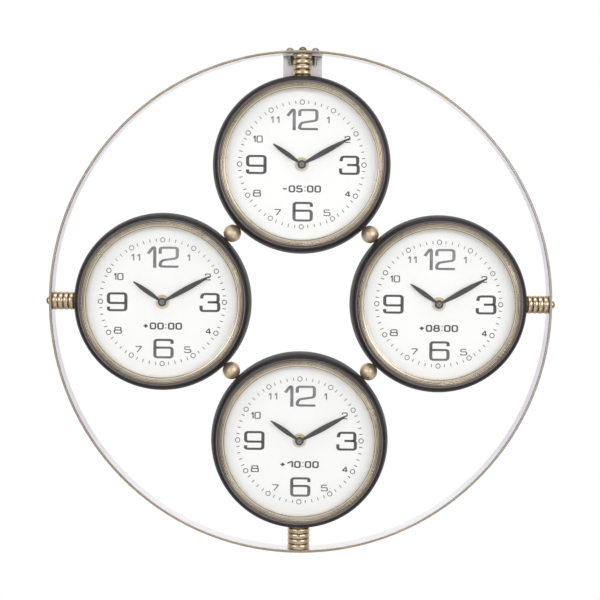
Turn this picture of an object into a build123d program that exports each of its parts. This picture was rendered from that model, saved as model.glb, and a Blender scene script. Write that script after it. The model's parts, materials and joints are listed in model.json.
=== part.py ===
"""Wall clock with four clock heads held inside one flat steel hoop. Millimetres.

X points right and Z points up as the clock hangs, and Y points into the wall. The wall is the plane y = 0,
and the origin is the centre of the keyhole in the back of the hanging bracket. A depth is a distance from
the wall towards the room. Every clock head has the same pieces, so each piece has one function, and the
heads are placed round the centre of the hoop.
"""

import os
from math import asin, atan2, cos, degrees, radians, sin, sqrt

from build123d import *

os.makedirs("parts", exist_ok=True)

# Clearances
running_gap = 0.05
seat_gap = 0.05
slide_gap = 0.1
free_gap = 0.3
past = 1

# Case of a clock head: a spun shell, open at the back, with a rolled lip in front
case_radius = 88.5
case_rear_taper = 2
case_rear_depth = 2.2
case_wall = 1.2
axis_depth = 13.5
lip_reach = 20.5
lip_inset = 5.3
lip_roll = 2.2
neck_depth = 12.5
ledge_width = 8

# Dial, glass and bezel, stacked on the ledge of the case
dial_thickness = 1
dial_rim_width = 1.2
glass_gap = 8.1
glass_thickness = 2
bezel_skirt = 1.2
bezel_brim_rise = 1.8
bezel_edge = 0.5
bezel_width = 6.7
bead_count = 3
bead_width = 1.35
bead_height = 0.55
bead_step = 0.25

# Quartz movement
movement_width = 56
movement_thickness = 16
movement_corner = 4
bush_radius = 4
bush_height = 3.6
pipe_radius = 2.55
pipe_wall = 0.95
pipe_depth_in_bush = 8
arbor_depth_in_bush = 14
pipe_height = 1.1
arbor_height = 2.8
washer_radius = 7
washer_thickness = 0.6
bush_nut_width = 10
bush_nut_height = 2.2

# AA battery in its bay, open to the back
battery_radius = 7.1
battery_length = 49.3
battery_nub_radius = 2.75
battery_nub_length = 1.2
bay_edge = 2.1
bay_drop = movement_width / 2 - bay_edge - free_gap - battery_radius

# Set knob: its 36-tooth wheel meshes with the 12-tooth pinion of the minute arbor inside the movement
knob_radius = 7
knob_thickness = 2
knob_offset = 10.8
knob_stem_radius = 2
knob_stem_length = 5
knob_dish_radius = 5.6
knob_dish_depth = 1.2
knob_grip_width = 2.4

# Hands at ten past ten, angles clockwise from twelve
hand_thickness = 0.4
minute_angle = 61
minute_length = 53.5
minute_width = 5.2
minute_boss_radius = 3.8
minute_cap_radius = 2.4
minute_cap_height = 0.9
minute_belly_share = 0.53
hour_angle = 305
hour_length = 35
hour_width = 4.6
hour_boss_radius = 4.4
hour_belly_share = 0.53
neck_width = 2.2
tip_width = 0.9
hand_gap = 1.2

# Balls between neighbouring cases, each on a stud through both case walls
ball_radius = 8.85
thread_radius = 2
thread_hole_radius = 2.15
stud_tail = 1.5

# Ribbed spacers between cases and hoop
spacer_length = 21.7
spacer_radius = 9.1
bottom_spacer_radius = 11.25
rib_count = 4
rib_groove = 0.9

# Hoop
hoop_thickness = 2.5
hoop_depth = 25
hoop_edge = 0.5

# Dome, countersunk and hexagon fasteners
dome_radius = 4.2
dome_height = 4.4
dome_socket_width = 2.5
dome_socket_depth = 2
countersink_radius = 3.9
countersink_height = 2.1
nut_width = 7
nut_height = 3.2

# Hanging bracket
bracket_width = 38.7
bracket_thickness = 1.5
bracket_bend = 1
flange_reach = 11.5
plate_length = 58
plate_corner = 4
notch_gap = 0.5
bracket_screw_spacing = 25
bracket_screw_depth = 6
bracket_screw_tail = 5.5
keyhole_drop = 42.5
keyhole_radius = 5
keyhole_slot_radius = 2.5
keyhole_slot_rise = 8

# Layout, worked out from the sizes above
ball_seat = sqrt(ball_radius**2 - thread_hole_radius**2)
head_pitch = sqrt(2) * (case_radius + ball_seat)
hoop_inner_radius = head_pitch + case_radius + spacer_length
hoop_radius = hoop_inner_radius + hoop_thickness
hoop_height = keyhole_drop - hoop_inner_radius
heads = {"top": 90, "left": 180, "right": 0, "bottom": 270}
lip_depth = axis_depth + lip_reach
lip_radius = case_radius - lip_inset
neck_radius = lip_radius - lip_roll
ledge_depth = lip_depth - neck_depth
dial_front = ledge_depth + dial_thickness
glass_back = dial_front + glass_gap
glass_front = glass_back + glass_thickness
bezel_radius = neck_radius - slide_gap
bezel_opening_radius = bezel_radius - bezel_width
glass_radius = bezel_radius - bezel_skirt - slide_gap
movement_back = ledge_depth - movement_thickness
bush_top = dial_front + bush_height
pipe_top = bush_top + pipe_height
hour_hand_depth = pipe_top - hand_thickness
arbor_top = bush_top + arbor_height
minute_hand_depth = hour_hand_depth + hand_thickness + hand_gap
pipe_bore = pipe_radius - pipe_wall
arbor_radius = pipe_bore - running_gap
nut_corner_radius = nut_width / sqrt(3)


def polar(radius, angle):
    """A point of the clock's face at this radius and angle from the centre of the hoop."""
    return (radius * cos(radians(angle)), hoop_height + radius * sin(radians(angle)))


def face_plane(centre, depth):
    """The plane parallel to the wall at this depth: x right, y up, facing the room."""
    return Plane(origin=(centre[0], -depth, centre[1]), x_dir=(1, 0, 0), z_dir=(0, -1, 0))


def section_plane(centre, angle=0):
    """The plane through a head's axis: x is the radius at this angle, y is the depth."""
    across = (cos(radians(angle)), 0, sin(radians(angle)))
    return Plane(origin=(centre[0], 0, centre[1]), x_dir=across, z_dir=(across[2], 0, -across[0]))


def head_axis(centre):
    """The axis of a head, pointing at the room."""
    return Axis(origin=(centre[0], 0, centre[1]), direction=(0, -1, 0))


def spoke(centre, angle, depth):
    """The axis that leaves a centre in the plane of the clock at this angle and depth."""
    direction = (cos(radians(angle)), 0, sin(radians(angle)))
    return Axis(origin=(centre[0], -depth, centre[1]), direction=direction)


def spoke_section(axis):
    """The plane through a spoke: x is the radius round the spoke, y runs out along it."""
    along = axis.direction
    return Plane(origin=axis.position, x_dir=(0, -1, 0), z_dir=(-along.Z, 0, along.X))


def spoke_end(axis, distance):
    """The plane square to a spoke at this distance, facing outwards."""
    return Plane(origin=axis.position + axis.direction * distance, x_dir=(0, -1, 0), z_dir=axis.direction)


# Case

rear_reach = axis_depth - case_rear_depth
rear_bend = (rear_reach**2 + case_rear_taper**2) / (2 * case_rear_taper)
rear_sweep = degrees(asin(rear_reach / rear_bend))


def wall_sagitta(reach):
    """How far the case wall falls away from its belly within this distance of a spoke."""
    behind = rear_bend - sqrt(rear_bend**2 - reach**2)
    beside = case_radius - sqrt(case_radius**2 - reach**2)
    return behind + beside


def belly_line(inset):
    """The side of the case in section, from its rear edge over the belly to the top of the lip."""
    CenterArc((case_radius - rear_bend, axis_depth), rear_bend - inset, -rear_sweep, rear_sweep)
    EllipticalCenterArc(
        (lip_radius, axis_depth),
        case_radius - inset - lip_radius,
        lip_reach - inset,
        0,
        arc_size=90,
    )


def case_rear_corner(outset):
    """The rear end of the belly line, moved out by this much."""
    bend = rear_bend + outset
    turned = radians(rear_sweep)
    return (case_radius - rear_bend + bend * cos(turned), axis_depth - bend * sin(turned))


def make_case(name, centre, angle):
    ledge_radius = neck_radius - ledge_width
    roll_centre = (lip_radius, lip_depth - lip_roll)
    with BuildPart() as case:
        with BuildSketch(section_plane(centre)):
            with BuildLine():
                belly_line(0)
                CenterArc(roll_centre, lip_roll, 90, 90)
                Polyline(
                    (neck_radius, lip_depth - lip_roll),
                    (neck_radius, ledge_depth),
                    (ledge_radius, ledge_depth),
                    (ledge_radius, ledge_depth - case_wall),
                    (neck_radius + case_wall, ledge_depth - case_wall),
                    (neck_radius + case_wall, lip_depth - lip_roll),
                )
                CenterArc(roll_centre, lip_roll - case_wall, 90, 90)
                belly_line(case_wall)
                Line(case_rear_corner(-case_wall), case_rear_corner(0))
            make_face()
        revolve(axis=head_axis(centre))
        # Holes for the spacer's screw and for the studs to the neighbouring heads
        for turn in (0, 135, 225):
            with BuildSketch(spoke_end(spoke(centre, angle + turn, axis_depth), lip_radius)):
                Circle(thread_hole_radius)
            extrude(amount=case_radius - lip_radius + past, mode=Mode.SUBTRACT)
    case.part.label = f"case_{name}"
    export_step(case.part, f"parts/case_{name}.step")


# Bezel, glass and dial

def make_bezel(name, centre):
    brim_depth = glass_front + bezel_brim_rise
    with BuildPart() as bezel:
        with BuildSketch(section_plane(centre)):
            with BuildLine():
                Polyline(
                    (bezel_opening_radius, glass_front + bezel_edge),
                    (bezel_opening_radius, glass_front),
                    (glass_radius + slide_gap, glass_front),
                    (glass_radius + slide_gap, ledge_depth),
                    (bezel_radius, ledge_depth),
                    (bezel_radius, brim_depth),
                )
                for bead in range(bead_count):
                    bead_outside = bezel_radius - bead * bead_width
                    bead_foot = brim_depth - bead * bead_step
                    ThreePointArc(
                        (bead_outside, bead_foot),
                        (bead_outside - bead_width / 2, bead_foot + bead_height),
                        (bead_outside - bead_width, bead_foot),
                    )
                    Line(
                        (bead_outside - bead_width, bead_foot),
                        (bead_outside - bead_width, bead_foot - bead_step),
                    )
                Line(
                    (bezel_radius - bead_count * bead_width, brim_depth - bead_count * bead_step),
                    (bezel_opening_radius, glass_front + bezel_edge),
                )
            make_face()
        revolve(axis=head_axis(centre))
    bezel.part.label = f"bezel_{name}"
    export_step(bezel.part, f"parts/bezel_{name}.step")


def make_glass(name, centre):
    with BuildPart() as glass:
        with BuildSketch(face_plane(centre, glass_back)):
            Circle(glass_radius)
        extrude(amount=glass_thickness)
    glass.part.label = f"glass_{name}"
    export_step(glass.part, f"parts/glass_{name}.step")


def make_dial(name, centre):
    """A printed pan: its raised rim carries the edge of the glass."""
    with BuildPart() as dial:
        with BuildSketch(face_plane(centre, ledge_depth)):
            Circle(glass_radius)
        extrude(amount=glass_back - ledge_depth)
        with BuildSketch(face_plane(centre, dial_front)):
            Circle(glass_radius - dial_rim_width)
        extrude(amount=glass_gap + past, mode=Mode.SUBTRACT)
        with BuildSketch(face_plane(centre, ledge_depth)):
            Circle(bush_radius + slide_gap)
        extrude(amount=dial_thickness + past, mode=Mode.SUBTRACT)
    dial.part.label = f"dial_{name}"
    export_step(dial.part, f"parts/dial_{name}.step")


# Movement, what fastens it and what it drives

def make_movement(name, centre):
    bay_length = battery_length + battery_nub_length + 2 * free_gap
    bay_width = 2 * (battery_radius + free_gap)
    knob_centre = (centre[0], centre[1] + knob_offset)
    with BuildPart() as movement:
        with BuildSketch(face_plane(centre, movement_back)):
            RectangleRounded(movement_width, movement_width, movement_corner)
        extrude(amount=movement_thickness)
        with BuildSketch(face_plane(centre, ledge_depth)):
            Circle(bush_radius)
        extrude(amount=bush_top - ledge_depth)
        with BuildSketch(face_plane(centre, bush_top)):
            Circle(pipe_radius + running_gap)
        extrude(amount=-pipe_depth_in_bush, mode=Mode.SUBTRACT)
        with BuildSketch(face_plane(centre, bush_top)):
            Circle(arbor_radius + running_gap)
        extrude(amount=-arbor_depth_in_bush, mode=Mode.SUBTRACT)
        with BuildSketch(face_plane(centre, movement_back)):
            with Locations((0, -bay_drop)):
                Rectangle(bay_length, bay_width)
        extrude(amount=bay_width, mode=Mode.SUBTRACT)
        with BuildSketch(face_plane(knob_centre, movement_back)):
            Circle(knob_stem_radius + running_gap)
        extrude(amount=knob_stem_length + free_gap, mode=Mode.SUBTRACT)
    movement.part.label = f"movement_{name}"
    export_step(movement.part, f"parts/movement_{name}.step")


def make_fixing_nut(name, centre):
    with BuildPart() as fixing_nut:
        with BuildSketch(face_plane(centre, dial_front)):
            Circle(washer_radius)
            Circle(bush_radius + slide_gap, mode=Mode.SUBTRACT)
        extrude(amount=washer_thickness)
        with BuildSketch(face_plane(centre, dial_front + washer_thickness)):
            RegularPolygon(bush_nut_width / 2, 6, major_radius=False)
            Circle(bush_radius + running_gap, mode=Mode.SUBTRACT)
        extrude(amount=bush_nut_height)
    fixing_nut.part.label = f"fixing_nut_{name}"
    export_step(fixing_nut.part, f"parts/fixing_nut_{name}.step")


def make_hour_pipe(name, centre):
    bottom = bush_top - pipe_depth_in_bush + running_gap
    with BuildPart() as pipe:
        with BuildSketch(face_plane(centre, bottom)):
            Circle(pipe_radius)
            Circle(pipe_bore, mode=Mode.SUBTRACT)
        extrude(amount=pipe_top - bottom)
    pipe.part.label = f"hour_pipe_{name}"
    export_step(pipe.part, f"parts/hour_pipe_{name}.step")


def make_minute_arbor(name, centre):
    bottom = bush_top - arbor_depth_in_bush + running_gap
    with BuildPart() as arbor:
        with BuildSketch(face_plane(centre, bottom)):
            Circle(arbor_radius)
        extrude(amount=arbor_top - bottom)
    arbor.part.label = f"minute_arbor_{name}"
    export_step(arbor.part, f"parts/minute_arbor_{name}.step")


def hand_plane(centre, angle, depth):
    """The plane of a hand, with y along the hand at this angle clockwise from twelve."""
    turned = radians(angle)
    across = (cos(turned), 0, -sin(turned))
    return Plane(origin=(centre[0], -depth, centre[1]), x_dir=across, z_dir=(0, -1, 0))


def hand_outline(boss_radius, length, width, belly_share):
    """A leaf from the boss to the tip, widest at the belly."""
    Circle(boss_radius)
    belly = length * belly_share
    root = sqrt(boss_radius**2 - (neck_width / 2) ** 2)
    with BuildLine() as leaf:
        Spline((neck_width / 2, root), (width / 2, belly), (tip_width / 2, length))
        Line((tip_width / 2, length), (-tip_width / 2, length))
        Spline((-tip_width / 2, length), (-width / 2, belly), (-neck_width / 2, root))
        Line((-neck_width / 2, root), (neck_width / 2, root))
    make_face(leaf.edges())


def make_hour_hand(name, centre):
    with BuildPart() as hand:
        with BuildSketch(hand_plane(centre, hour_angle, hour_hand_depth)):
            hand_outline(hour_boss_radius, hour_length, hour_width, hour_belly_share)
            Circle(pipe_radius, mode=Mode.SUBTRACT)
        extrude(amount=hand_thickness)
    hand.part.label = f"hour_hand_{name}"
    export_step(hand.part, f"parts/hour_hand_{name}.step")


def make_minute_hand(name, centre):
    """The minute hand is closed: a cap over its boss hides the end of the arbor."""
    with BuildPart() as hand:
        with BuildSketch(hand_plane(centre, minute_angle, minute_hand_depth)):
            hand_outline(minute_boss_radius, minute_length, minute_width, minute_belly_share)
        extrude(amount=hand_thickness)
        with BuildSketch(face_plane(centre, minute_hand_depth + hand_thickness)):
            Circle(minute_cap_radius)
        extrude(amount=minute_cap_height)
        with BuildSketch(face_plane(centre, minute_hand_depth)):
            Circle(arbor_radius)
        extrude(amount=arbor_top - minute_hand_depth, mode=Mode.SUBTRACT)
    hand.part.label = f"minute_hand_{name}"
    export_step(hand.part, f"parts/minute_hand_{name}.step")


def make_set_knob(name, centre):
    knob_centre = (centre[0], centre[1] + knob_offset)
    knob_front = movement_back - free_gap
    with BuildPart() as knob:
        with BuildSketch(face_plane(knob_centre, knob_front - knob_thickness)):
            Circle(knob_radius)
        extrude(amount=knob_thickness)
        with BuildSketch(face_plane(knob_centre, knob_front)):
            Circle(knob_stem_radius)
        extrude(amount=knob_stem_length)
        # A dish in the back leaves a bar for finger and thumb
        with BuildSketch(face_plane(knob_centre, knob_front - knob_thickness)):
            Circle(knob_dish_radius)
            Rectangle(knob_grip_width, 2 * knob_radius, mode=Mode.SUBTRACT)
        extrude(amount=knob_dish_depth, mode=Mode.SUBTRACT)
    knob.part.label = f"set_knob_{name}"
    export_step(knob.part, f"parts/set_knob_{name}.step")


def make_battery(name, centre):
    depth = movement_back + free_gap + battery_radius
    start = (centre[0] - (battery_length + battery_nub_length) / 2, -depth, centre[1] - bay_drop)
    with BuildPart() as battery:
        with BuildSketch(Plane(origin=start, x_dir=(0, 1, 0), z_dir=(1, 0, 0))):
            Circle(battery_radius)
        extrude(amount=battery_length)
        with BuildSketch(Plane(origin=start, x_dir=(0, 1, 0), z_dir=(1, 0, 0)).offset(battery_length)):
            Circle(battery_nub_radius)
        extrude(amount=battery_nub_length)
    battery.part.label = f"battery_{name}"
    export_step(battery.part, f"parts/battery_{name}.step")


# Balls and spacers

def make_link_balls():
    """Balls drilled for their studs, one in each gap between neighbouring heads."""
    with BuildPart() as balls:
        for angle in heads.values():
            centre = polar(head_pitch / sqrt(2), angle + 45)
            stud = spoke(centre, angle + 135, axis_depth)
            with BuildSketch(spoke_section(stud)):
                with BuildLine():
                    ThreePointArc(
                        (thread_hole_radius, -ball_seat),
                        (ball_radius, 0),
                        (thread_hole_radius, ball_seat),
                    )
                    Line((thread_hole_radius, ball_seat), (thread_hole_radius, -ball_seat))
                make_face()
            revolve(axis=stud)
    balls.part.label = "link_balls"
    export_step(balls.part, "parts/link_balls.step")


def make_spacer(name, centre, angle, rib_radius):
    """A turned post of round ribs. Its foot is saddled to the case and its top to the hoop."""
    groove_radius = rib_radius - rib_groove
    foot = case_radius - wall_sagitta(groove_radius)
    rib_pitch = spacer_length / rib_count
    post = spoke(centre, angle, axis_depth)
    top = case_radius + spacer_length
    with BuildPart() as spacer:
        with BuildSketch(spoke_section(post)):
            with BuildLine():
                Polyline(
                    (groove_radius, top),
                    (thread_hole_radius, top),
                    (thread_hole_radius, foot),
                    (groove_radius, foot),
                    (groove_radius, case_radius),
                )
                for rib in range(rib_count):
                    rib_start = case_radius + rib * rib_pitch
                    ThreePointArc(
                        (groove_radius, rib_start),
                        (rib_radius, rib_start + rib_pitch / 2),
                        (groove_radius, rib_start + rib_pitch),
                    )
            make_face()
        revolve(axis=post)
        with BuildSketch(section_plane(centre)):
            with BuildLine():
                belly_line(-seat_gap)
                Polyline(
                    (lip_radius, lip_depth + seat_gap),
                    (0, lip_depth + seat_gap),
                    (0, case_rear_depth - seat_gap),
                    case_rear_corner(seat_gap),
                )
            make_face()
        revolve(axis=head_axis(centre), mode=Mode.SUBTRACT)
        with BuildSketch(face_plane((0, hoop_height), 0)):
            Circle(hoop_inner_radius - seat_gap)
        extrude(amount=hoop_depth + rib_radius, mode=Mode.INTERSECT)
    spacer.part.label = f"ribbed_spacer_{name}"
    export_step(spacer.part, f"parts/ribbed_spacer_{name}.step")


# Hoop and fasteners

nut_sagitta = wall_sagitta(nut_corner_radius) + seat_gap
nut_seat = case_radius - case_wall - nut_sagitta
bracket_screw_turn = degrees(asin(bracket_screw_spacing / 2 / hoop_inner_radius))
bracket_nut_seat = hoop_inner_radius - bracket_thickness - seat_gap
hoop_centre = (0, hoop_height)
bracket_screw_angles = (90 - bracket_screw_turn, 90 + bracket_screw_turn)


def dome_screw(axis, seat, end):
    """One screw on this axis: a round head that sits at the seat and a shank in to the end."""
    dome_bend = (dome_radius**2 + dome_height**2) / (2 * dome_height)
    dome_start = degrees(asin((dome_bend - dome_height) / dome_bend))
    with BuildSketch(spoke_section(axis)) as profile:
        with BuildLine():
            CenterArc((0, seat + dome_height - dome_bend), dome_bend, dome_start, 90 - dome_start)
            Polyline(
                (0, seat + dome_height),
                (0, end),
                (thread_radius, end),
                (thread_radius, seat),
                (dome_radius, seat),
            )
        make_face()
    revolve(profile.sketch, axis=axis)
    with BuildSketch(spoke_end(axis, seat + dome_height - dome_socket_depth)) as socket:
        RegularPolygon(dome_socket_width / 2, 6, major_radius=False)
    extrude(socket.sketch, amount=dome_socket_depth + past, mode=Mode.SUBTRACT)


def hexagon_nut(axis, seat):
    """One nut on this axis, its outer face at the seat."""
    with BuildSketch(spoke_end(axis, seat - nut_height)) as section:
        RegularPolygon(nut_width / 2, 6, major_radius=False)
        Circle(thread_radius + running_gap, mode=Mode.SUBTRACT)
    extrude(section.sketch, amount=nut_height)


def make_hoop():
    with BuildPart() as hoop:
        with BuildSketch(face_plane(hoop_centre, 0)):
            Circle(hoop_radius)
            Circle(hoop_inner_radius, mode=Mode.SUBTRACT)
        extrude(amount=hoop_depth)
        chamfer(hoop.edges().filter_by(GeomType.CIRCLE), hoop_edge)
        drillings = [(angle, axis_depth) for angle in heads.values()]
        drillings += [(angle, bracket_screw_depth) for angle in bracket_screw_angles]
        for angle, depth in drillings:
            with BuildSketch(spoke_end(spoke(hoop_centre, angle, depth), hoop_inner_radius - past)):
                Circle(thread_hole_radius)
            extrude(amount=hoop_thickness + 2 * past, mode=Mode.SUBTRACT)
        # The bottom screw lies flush in a countersink
        bottom = spoke(hoop_centre, heads["bottom"], axis_depth)
        with BuildSketch(spoke_section(bottom)):
            with BuildLine():
                Polyline(
                    (0, hoop_radius + past),
                    (0, hoop_radius - countersink_height),
                    (thread_hole_radius, hoop_radius - countersink_height),
                    (countersink_radius + slide_gap, hoop_radius),
                    (countersink_radius + slide_gap, hoop_radius + past),
                    close=True,
                )
            make_face()
        revolve(axis=bottom, mode=Mode.SUBTRACT)
    hoop.part.label = "outer_hoop"
    export_step(hoop.part, "parts/outer_hoop.step")


def make_dome_screws():
    """Brass screws through the hoop, the spacer and the case wall at the top, left and right."""
    with BuildPart() as screws:
        for name in ("top", "left", "right"):
            axis = spoke(hoop_centre, heads[name], axis_depth)
            end = head_pitch + nut_seat - nut_height - stud_tail
            dome_screw(axis, hoop_radius, end)
    screws.part.label = "dome_screws"
    export_step(screws.part, "parts/dome_screws.step")


def make_bottom_screw():
    """The countersunk screw of the bottom spacer, flush with the outside of the hoop."""
    axis = spoke(hoop_centre, heads["bottom"], axis_depth)
    end = head_pitch + nut_seat - nut_height - stud_tail
    face = hoop_radius - seat_gap
    with BuildPart() as screw:
        with BuildSketch(spoke_section(axis)):
            with BuildLine():
                Polyline(
                    (0, face),
                    (0, end),
                    (thread_radius, end),
                    (thread_radius, face - countersink_height),
                    (countersink_radius, face),
                    close=True,
                )
            make_face()
        revolve(axis=axis)
        with BuildSketch(spoke_end(axis, face - dome_socket_depth)):
            RegularPolygon(dome_socket_width / 2, 6, major_radius=False)
        extrude(amount=dome_socket_depth + past, mode=Mode.SUBTRACT)
    screw.part.label = "bottom_screw"
    export_step(screw.part, "parts/bottom_screw.step")


def make_bracket_screws():
    """Zinc screws that hold the flange of the bracket under the hoop."""
    with BuildPart() as screws:
        for angle in bracket_screw_angles:
            axis = spoke(hoop_centre, angle, bracket_screw_depth)
            dome_screw(axis, hoop_radius, bracket_nut_seat - nut_height - bracket_screw_tail)
    screws.part.label = "bracket_screws"
    export_step(screws.part, "parts/bracket_screws.step")


def make_link_studs():
    """Threaded studs through the balls, from inside one case to inside the next."""
    reach = head_pitch / sqrt(2) - nut_seat + nut_height + stud_tail
    with BuildPart() as studs:
        for angle in heads.values():
            stud = spoke(polar(head_pitch / sqrt(2), angle + 45), angle + 135, axis_depth)
            with BuildSketch(spoke_end(stud, -reach)):
                Circle(thread_radius)
            extrude(amount=2 * reach)
    studs.part.label = "link_studs"
    export_step(studs.part, "parts/link_studs.step")


def make_nuts():
    """Inside every case a nut on the spacer's screw and on each stud, and two under the bracket."""
    with BuildPart() as nuts:
        for angle in heads.values():
            for turn in (0, 135, 225):
                hexagon_nut(spoke(polar(head_pitch, angle), angle + turn, axis_depth), nut_seat)
        for angle in bracket_screw_angles:
            hexagon_nut(spoke(hoop_centre, angle, bracket_screw_depth), bracket_nut_seat)
    nuts.part.label = "hexagon_nuts"
    export_step(nuts.part, "parts/hexagon_nuts.step")


def make_bracket():
    """A bent sheet: a flange curved to the inside of the hoop and a plate flat on the wall."""
    flange_top = hoop_inner_radius
    flange_bottom = flange_top - bracket_thickness
    plate_end = hoop_inner_radius - plate_length - bracket_width
    outer_bend = bracket_bend + bracket_thickness
    half_turn = degrees(atan2(bracket_width, plate_end))
    strip_length = plate_length + past
    strip_centre = (0, keyhole_drop - plate_length + strip_length / 2)
    top_spacer = spoke(hoop_centre, heads["top"], axis_depth)
    with BuildPart() as bracket:
        with BuildSketch(section_plane(hoop_centre, heads["top"] - half_turn)):
            with BuildLine():
                Line((plate_end, 0), (flange_top - outer_bend, 0))
                CenterArc((flange_top - outer_bend, outer_bend), outer_bend, 270, 90)
                Polyline(
                    (flange_top, outer_bend),
                    (flange_top, flange_reach),
                    (flange_bottom, flange_reach),
                    (flange_bottom, outer_bend),
                )
                CenterArc((flange_bottom - bracket_bend, outer_bend), bracket_bend, 0, -90)
                Polyline(
                    (flange_bottom - bracket_bend, bracket_thickness),
                    (plate_end, bracket_thickness),
                    (plate_end, 0),
                )
            make_face()
        revolve(axis=head_axis(hoop_centre), revolution_arc=2 * half_turn)
        # The blank is a strip with rounded lower corners
        with BuildSketch(face_plane(strip_centre, 0)) as strip:
            Rectangle(bracket_width, strip_length)
            fillet(strip.vertices().group_by(Axis.Y)[0], plate_corner)
        extrude(amount=flange_reach, mode=Mode.INTERSECT)
        # A notch in the flange clears the top spacer
        with BuildSketch(spoke_end(top_spacer, hoop_inner_radius - outer_bend)):
            Circle(spacer_radius + notch_gap)
        extrude(amount=outer_bend + past, mode=Mode.SUBTRACT)
        for angle in bracket_screw_angles:
            screw = spoke(hoop_centre, angle, bracket_screw_depth)
            with BuildSketch(spoke_end(screw, flange_bottom - past)):
                Circle(thread_hole_radius)
            extrude(amount=bracket_thickness + 2 * past, mode=Mode.SUBTRACT)
        # The head of the wall screw enters the round part, and its neck rests at the top of the slot
        with BuildSketch(face_plane((0, 0), 0)):
            Circle(keyhole_radius)
            with Locations((0, keyhole_slot_rise)):
                Circle(keyhole_slot_radius)
            with Locations((0, keyhole_slot_rise / 2)):
                Rectangle(2 * keyhole_slot_radius, keyhole_slot_rise)
        extrude(amount=bracket_thickness + past, mode=Mode.SUBTRACT)
    bracket.part.label = "hanging_bracket"
    export_step(bracket.part, "parts/hanging_bracket.step")


for name, angle in heads.items():
    centre = polar(head_pitch, angle)
    make_case(name, centre, angle)
    make_bezel(name, centre)
    make_glass(name, centre)
    make_dial(name, centre)
    make_movement(name, centre)
    make_fixing_nut(name, centre)
    make_hour_pipe(name, centre)
    make_hour_hand(name, centre)
    make_minute_arbor(name, centre)
    make_minute_hand(name, centre)
    make_set_knob(name, centre)
    make_battery(name, centre)
    make_spacer(name, centre, angle, bottom_spacer_radius if name == "bottom" else spacer_radius)

make_link_balls()
make_link_studs()
make_nuts()
make_hoop()
make_dome_screws()
make_bottom_screw()
make_bracket()
make_bracket_screws()
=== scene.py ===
# %% [markdown]
# A clock of four heads for a wall, dressed in Blender. The real thing is a thin metal hoop with four round
# quartz clocks inside it, held by ribbed brass posts and joined by brass balls. The exact shapes come from
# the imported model, and this file gives them their finishes, their printed dials, threads and small parts.
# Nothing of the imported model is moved, so a new piece takes its place from the boxes of the nodes round it.

import json
from math import cos, pi, radians, sin

import bmesh
import bpy
from mathutils import Matrix, Vector


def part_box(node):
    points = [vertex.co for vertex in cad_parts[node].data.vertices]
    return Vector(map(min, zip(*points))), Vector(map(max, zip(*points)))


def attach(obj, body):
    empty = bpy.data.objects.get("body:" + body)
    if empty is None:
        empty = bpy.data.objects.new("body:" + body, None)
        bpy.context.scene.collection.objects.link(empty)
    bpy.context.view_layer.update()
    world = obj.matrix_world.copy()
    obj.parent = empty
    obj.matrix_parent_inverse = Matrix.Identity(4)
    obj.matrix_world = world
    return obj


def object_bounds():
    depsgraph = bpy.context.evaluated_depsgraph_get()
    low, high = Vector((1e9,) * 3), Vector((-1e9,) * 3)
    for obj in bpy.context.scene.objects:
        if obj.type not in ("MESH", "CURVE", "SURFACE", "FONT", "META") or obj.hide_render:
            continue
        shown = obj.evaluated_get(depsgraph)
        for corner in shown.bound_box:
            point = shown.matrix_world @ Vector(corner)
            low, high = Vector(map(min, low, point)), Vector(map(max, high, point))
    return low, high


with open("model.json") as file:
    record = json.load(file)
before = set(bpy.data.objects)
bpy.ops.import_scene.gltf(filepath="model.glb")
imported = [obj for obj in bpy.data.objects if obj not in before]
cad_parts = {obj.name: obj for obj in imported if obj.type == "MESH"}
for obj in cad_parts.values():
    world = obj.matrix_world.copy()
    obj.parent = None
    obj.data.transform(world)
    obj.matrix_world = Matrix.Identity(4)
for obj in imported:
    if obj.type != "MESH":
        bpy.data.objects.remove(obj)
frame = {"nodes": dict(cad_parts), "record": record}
nodes = frame["nodes"]
cad_low, cad_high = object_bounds()
MM = 0.001
print("nodes:", len(nodes), "box in mm:", [round(v / MM, 1) for v in cad_high - cad_low])

# %% [markdown]
# The four heads are alike, so everything about them is found once for each from its node boxes: the axis of
# the head, the face of its dial and the back of its movement. The dial is a pan with a raised rim, so the
# height of its face is read from the washer that lies on it.

# %% Find the heads and the hoop
HEADS = ("top", "left", "right", "bottom")


def middle(node):
    """The centre of a node's box."""
    low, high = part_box(node)
    return (low + high) / 2


def half_width(node):
    """Half of how far a node's box reaches from left to right."""
    low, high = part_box(node)
    return (high.x - low.x) / 2


head_centre = {head: middle(f"glass_{head}") for head in HEADS}
hoop_centre = middle("outer_hoop")
head_pitch = head_centre["top"].z - hoop_centre.z
dial_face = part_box("fixing_nut_top")[1].y
movement_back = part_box("movement_top")[1].y
axis_y = middle("link_balls").y
hoop_outside = half_width("outer_hoop")
hoop_thickness = 2.5 * MM
hoop_inside = hoop_outside - hoop_thickness
print("hoop centre:", [round(v / MM, 2) for v in hoop_centre], "head pitch:", round(head_pitch / MM, 2))

# %% [markdown]
# The picture was taken from a little above, from about three hoop widths away, so the rims of the deep
# cases lean apart only slightly. A long lens from that distance gives the same drawing. The clock hangs
# half a degree out of level, and the camera is rolled by that much.

# %% Place the camera
scene = bpy.context.scene
camera_rise = 2.6
camera_distance = 1.65
camera_roll = 0.5
focal_pixels = 1662
frame_pixels = 600
aim_across = -0.6 * MM
aim_up = 3.1 * MM


def new_object(name, data):
    """An object with this data, in the scene."""
    made = bpy.data.objects.new(name, data)
    scene.collection.objects.link(made)
    return made


def towards(turn, rise):
    """The direction from the clock that is turned to the right of its front and raised by these degrees."""
    turn, rise = radians(turn), radians(rise)
    return Vector((sin(turn) * cos(rise), -cos(turn) * cos(rise), sin(rise)))


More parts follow.
